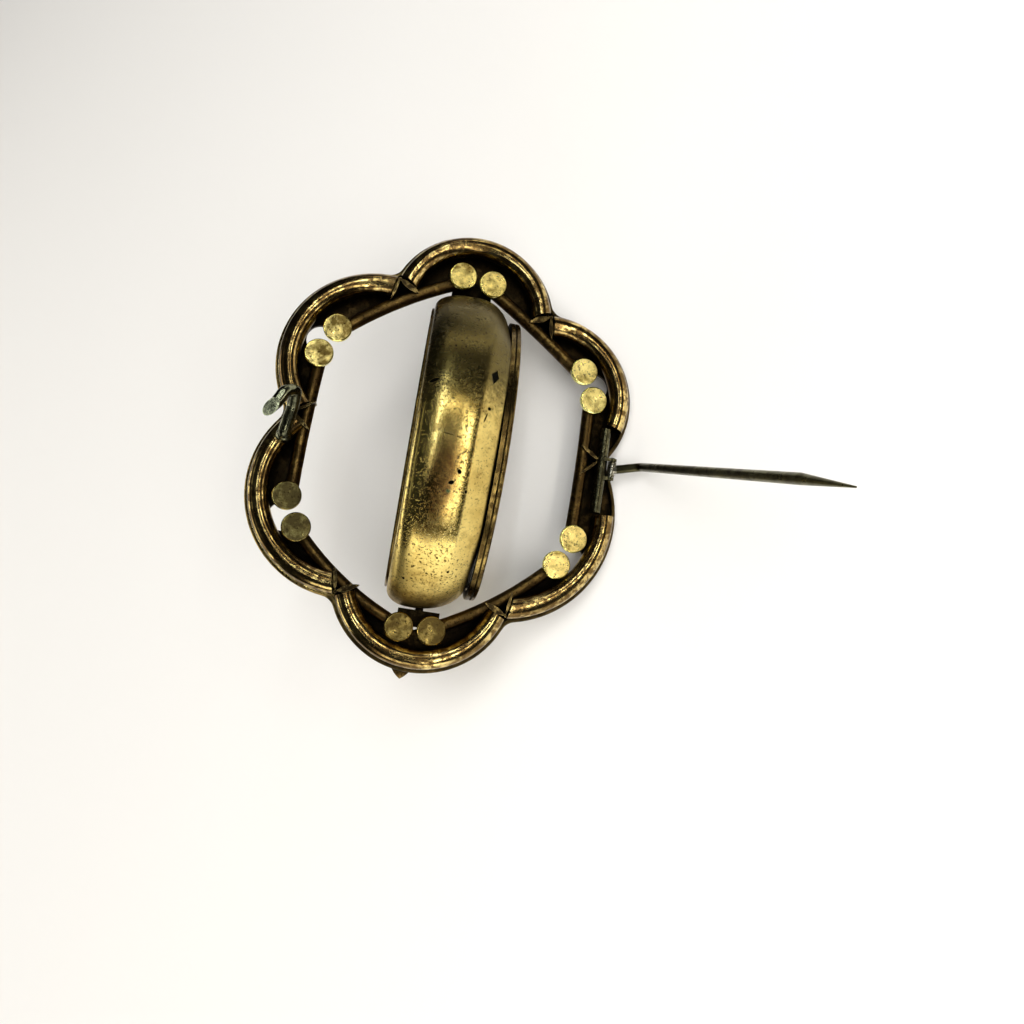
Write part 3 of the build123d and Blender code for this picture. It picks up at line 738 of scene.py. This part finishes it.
# %% Carry the section round
ROUND_STEPS = 288
ACROSS_STEPS = 56
ENDS_START, ENDS_FULL = 11.5, 19.5
CREST_MIDDLE, CREST_LEAN = 0.1, 0.045
RIDGE_NEAREST, RIDGE_BOW, RIDGE_ALONG = 2.5, 0.0023, -5
Dent = namedtuple("Dent", "half_depth cycles")
dents = (Dent(0.025, 0.21), Dent(0.012, 0.9))
case_mesh = bpy.data.meshes.new("struck_case")
shape = bmesh.new()
rings = []
for step in range(ROUND_STEPS):
    place = outline_place(step / ROUND_STEPS)
    along = place.along - LOCKET_ALONG
    ends = smooth_step(ENDS_START, ENDS_FULL, abs(along))
    crest = CREST_MIDDLE + CREST_LEAN * along
    ridge = RIDGE_NEAREST + RIDGE_BOW * (along - RIDGE_ALONG) ** 2
    ring = []
    for across, depth in band_section(crest, ridge, ends, ACROSS_STEPS):
        spot = Vector((across, place.along, place.height))
        inward = depth + sum(
            dent.half_depth * (1 + noise_field.noise(spot * dent.cycles)) for dent in dents
        )
        ring.append(shape.verts.new(on_board(
            across,
            place.along - place.out_along * inward,
            place.height - place.out_height * inward,
        )))
    rings.append(ring)
for ring, following in zip(rings, rings[1:] + rings[:1]):
    for first in range(ACROSS_STEPS - 1):
        shape.faces.new((ring[first], ring[first + 1], following[first + 1], following[first]))
bmesh.ops.recalc_face_normals(shape, faces=shape.faces)
top_face = max(shape.faces, key=lambda face: face.calc_center_median().z)
if top_face.normal.z < 0:
    bmesh.ops.reverse_faces(shape, faces=shape.faces)
for face in shape.faces:
    face.smooth = True
shape.to_mesh(case_mesh)
shape.free()
case = add_object("struck_case", case_mesh)
print("band has", len(case_mesh.polygons), "faces before it gets a wall")

# %% [markdown]
# The band so far has no thickness. It gets a wall of sheet brass inwards, and then one drill,
# longer than the locket, makes both of the holes that it turns on its pins with.

# %% Wall and pivot holes
WALL = 0.45
HOLE_RADIUS = 0.56
DRILL_SIDES = 32
wall = case.modifiers.new("wall", "SOLIDIFY")
wall.thickness = WALL * MM
wall.offset = -1
wall.use_even_offset = True
drill_mesh = bpy.data.meshes.new("drill")
shape = bmesh.new()
bmesh.ops.create_cone(
    shape, cap_ends=True, segments=DRILL_SIDES, radius1=HOLE_RADIUS, radius2=HOLE_RADIUS,
    depth=3 * HALF_LENGTH, matrix=board @ Matrix.Translation((0, 0, LOCKET_HEIGHT))
    @ Matrix.Rotation(pi / 2, 4, "X"),
)
shape.to_mesh(drill_mesh)
shape.free()
drill = add_object("drill", drill_mesh)
holed = case.modifiers.new("pivot_holes", "BOOLEAN")
holed.operation = "DIFFERENCE"
holed.object = drill
ready = case.evaluated_get(bpy.context.evaluated_depsgraph_get())
case_mesh = bpy.data.meshes.new_from_object(ready)
case.modifiers.clear()
case.data = case_mesh
bpy.data.objects.remove(drill)
print("case has", len(case_mesh.polygons), "faces with its wall and pivot holes")

# %% [markdown]
# ## The case's skin
# The case is the cleanest gilt on the brooch, yet every year has left something: an olive
# patina over the end that was handled least, partly a painted dark reflection of the frame
# beside it, a brown bloom in the middle, partly a painted dark reflection too, pin-holes, a
# lozenge dent and a few scratches. Each mark is a small oval or lozenge placed on the board.

# %% Marks on the case
Mark = namedtuple("Mark", "name across along height wide long turn lozenge")
marks = [
    Mark("lozenge_dent", 3.72, 6.87, 12.22, 0.72, 1.42, -8, True),
    Mark("long_nick", -3.16, 4.82, 12.89, 0.85, 0.30, 30, False),
    Mark("nick_below", -2.6, 4.1, 13.1, 0.22, 0.12, 10, False),
    Mark("pit_left", -1.32, 9.72, 11.42, 0.12, 0.16, 0, False),
    Mark("pit_right", -0.17, 9.84, 11.4, 0.10, 0.20, 12, False),
    Mark("pit_high", -0.72, 10.6, 11.01, 0.17, 0.10, 20, False),
    Mark("hole", 3.53, 2.75, 13.23, 0.30, 0.30, 0, False),
    Mark("hole_tail", 3.24, 1.6, 13.44, 0.11, 0.9, -14, False),
    Mark("scratch", -0.7, -1.1, 13.64, 0.95, 0.05, -4, False),
    Mark("cluster_high", 1.3, -5.0, 13.1, 0.30, 0.34, 30, False),
    Mark("cluster_mid", 0.6, -6.3, 12.8, 0.46, 0.28, 20, False),
    Mark("cluster_low", 2.4, -7.0, 12.5, 0.22, 0.30, 0, False),
    Mark("foot_pit_left", -2.74, -17.25, 5.89, 0.22, 0.16, 0, False),
    Mark("foot_pit_mid", 0.64, -14.52, 8.68, 0.16, 0.14, 0, False),
    Mark("foot_pit_right", 2.22, -15.83, 7.49, 0.20, 0.16, 0, False),
]
MARK_SIZE = 0.8
MARK_HEIGHT = 1.2
print("marks on the case:", len(marks))


# %% Where the case has aged, and where reflections are painted
WORN_GOLD, BRIGHT_GOLD = (0.60, 0.44, 0.14), (0.82, 0.66, 0.25)
BLOTCH_BROWN = (0.34, 0.22, 0.06)
# The olive and the brown are partly patina and tarnish, partly painted dark reflections; the speck
# black also paints shade in corners.
OLIVE_PATINA_AND_REFLECTION = (0.115, 0.092, 0.034)
BLOOM_AND_REFLECTION_BROWN = (0.13, 0.065, 0.028)
SPECK_AND_SHADE_BLACK = (0.03, 0.022, 0.01)
HOLE_BLACK = (0.010, 0.010, 0.006)
VERDIGRIS = (0.05, 0.11, 0.07)
FOOT_BROWN = (0.20, 0.125, 0.04)
GRAIN_SHARE = 1.3

case_skin, tree, shader, where = start_metal("case_gilt")
axes = tree.nodes.new("ShaderNodeSeparateXYZ")
tree.links.new(where, axes.inputs["Vector"])
across = axes.outputs["X"]
along = axes.outputs["Y"]
down = times(tree, along, -1.0)
broad = noise(tree, where, 0.16, 4.0, 0.6)
blotch = noise(tree, where, 0.55, 6.0, 0.65)
speck = noise(tree, where, 3.4, 8.0, 0.7)
grain = noise(tree, where, 1.6, 5.0, 0.7)


def ragged(source, low, high, most=1.0):
    """Source against two levels, with its edge broken up by the grain of the metal."""
    width = high - low
    rough_edge = add_node(tree, "ShaderNodeMath", operation="MULTIPLY_ADD")
    tree.links.new(grain, rough_edge.inputs[0])
    rough_edge.inputs[1].default_value = width * GRAIN_SHARE
    tree.links.new(source, rough_edge.inputs[2])
    middle = width * GRAIN_SHARE / 2
    level = add_node(tree, "ShaderNodeMapRange", From_Min=low + middle, From_Max=high + middle,
                     To_Max=most, interpolation_type="SMOOTHSTEP")
    tree.links.new(rough_edge.outputs["Value"], level.inputs["Value"])
    return level.outputs["Result"]


# Olive over the top end: partly patina, partly a painted dark reflection of the frame beside it.
patina_and_reflection = ragged(along, 0.5, 7.0, 0.9)
brink = ragged(down, 17.6, 20.0, 0.75)
matte = larger(tree, ragged(across, 2.3, 2.9), ragged(down, 12.0, 15.5))
# Brown in the middle: partly tarnish, partly a painted dark reflection.
bloom_and_reflection = oval_mask(tree, where, (-0.55, -6.5, 12.6), (2.6, 8.6, 6.0), radians(-4), soft=0.6)
bloom_and_reflection = times(tree, bloom_and_reflection, ramp(tree, grain, [(0.30, grey(0.95)), (0.72, grey(0.7))]))
green = oval_mask(tree, where, (0.43, -7.27, 12.56), (0.34, 0.30, 1.0), soft=0.6)
specked = larger(tree, ragged(along, 0.0, 9.0, 0.9), ragged(down, 11.0, 14.5))
specked = larger(tree, specked, times(tree, blotch, 1.2))
dots = ramp(tree, speck, [(0.555, grey(0)), (0.62, grey(0.9))])
dots = times(tree, dots, specked)
holes = None
for mark in marks:
    spot = oval_mask(
        tree, where, (mark.across, mark.along, mark.height),
        (mark.wide * MARK_SIZE, mark.long * MARK_SIZE, MARK_HEIGHT),
        radians(mark.turn), mark.lozenge,
    )
    holes = spot if holes is None else larger(tree, holes, spot)
print("masks of the case use", len(tree.nodes), "nodes")

# %% [markdown]
# With the masks ready, the skin is painted in the order in which it came about: gold first,
# then patina and bloom, each partly a painted dark reflection, then specks, marks, and grime
# with painted shade in the corners. The front facet and the foot are matter than the crown, and
# the pits are pressed in as relief as well as painted.

# %% Skin of the case
layers = [
    (ramp(tree, blotch, [(0.50, grey(0)), (0.70, grey(0.55))]), BLOTCH_BROWN),
    (patina_and_reflection, OLIVE_PATINA_AND_REFLECTION),
    (bloom_and_reflection, BLOOM_AND_REFLECTION_BROWN),
    (dots, SPECK_AND_SHADE_BLACK),
    (holes, HOLE_BLACK),
    (times(tree, green, 0.7), VERDIGRIS),
    (brink, FOOT_BROWN),
    # Dark corners: painted shade with some grime.
    (shade_and_grime_in_corners(tree, 0.9, 0.35, 0.85), SPECK_AND_SHADE_BLACK),
]
colour = ramp(tree, broad, [(0.34, WORN_GOLD), (0.62, BRIGHT_GOLD)])
for share, paint_over in layers:
    colour = mix_colour(tree, share, colour, paint_over)
tree.links.new(colour, shader.inputs["Base Color"])
polish = mix_colour(tree, blotch, grey(0.15), grey(0.27))
for share, rough in ((matte, 0.38), (brink, 0.52), (times(tree, patina_and_reflection, 0.8), 0.30), (holes, 0.7)):
    polish = mix_colour(tree, share, polish, grey(rough))
tree.links.new(polish, shader.inputs["Roughness"])
hair = noise(tree, where, 1.0, 2.0, 0.5, stretch=(9.0, 0.9, 9.0))
relief = bump(tree, hair, 0.12, 0.02)
relief = bump(tree, dots, 0.5, 0.05, relief, invert=True)
relief = bump(tree, holes, 0.9, 0.25, relief, invert=True)
tree.links.new(relief, shader.inputs["Normal"])
case_mesh.materials.append(case_skin)
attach(case, "locket")
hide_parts("locket_case")
print("case skin has", len(tree.nodes), "nodes")

# %% [markdown]
# ## Dressing the other pieces
# All the other pieces keep their solids and only get a better finish, found by the start of
# their name. The studs already have theirs.

# %% Dress the solids
finishes = {
    "front_frame": sheet_skin,
    "lobe_tube": gilt_tube,
    "ring_arc": gilt_ring,
    "corner_leaf": dark_leaf,
    "hinge": grey_brass,
    "catch": catch_brass,
    "pivot": dark_sheet,
    "front_leaf": gilt_ring,
    "front_bezel": gilt_rim,
    "back_cover": gilt_rim,
    "pin_stem": dull_steel,
    "glass": clear_glass,
    "panel": dark_cloth,
}
dressed = 0
for name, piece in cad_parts.items():
    for start, finish in finishes.items():
        if name.startswith(start):
            piece.material_slots[0].material = finish
            dressed += 1
print("pieces dressed:", dressed)
